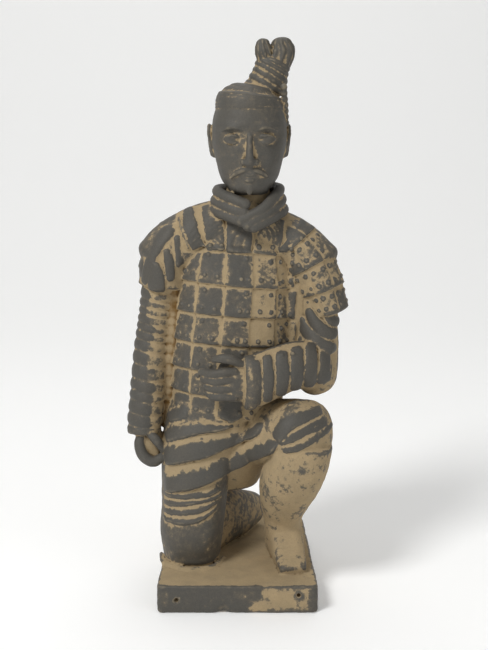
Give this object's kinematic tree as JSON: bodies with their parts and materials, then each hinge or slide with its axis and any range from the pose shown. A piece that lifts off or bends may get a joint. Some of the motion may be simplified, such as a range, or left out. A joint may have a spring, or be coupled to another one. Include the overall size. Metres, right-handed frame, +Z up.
{
  "type": "kneeling terracotta warrior statue",
  "caption": "Kneeling warrior in plate armour with a topknot, moulded in clay in one piece with a low rectangular plinth.",
  "frame": {"origin": "middle of the plinth's underside", "axes": "+Z up, the figure faces -Y, +X is on the figure's left"},
  "size_m": [0.1619, 0.156, 0.4],
  "materials": {
    "fired_clay": "matt fired clay, grey-black on the raised faces with tan dust in the creases"
  },
  "bodies": {
    "root": {"kneeling_warrior": "fired_clay"}
  },
  "joints": []
}
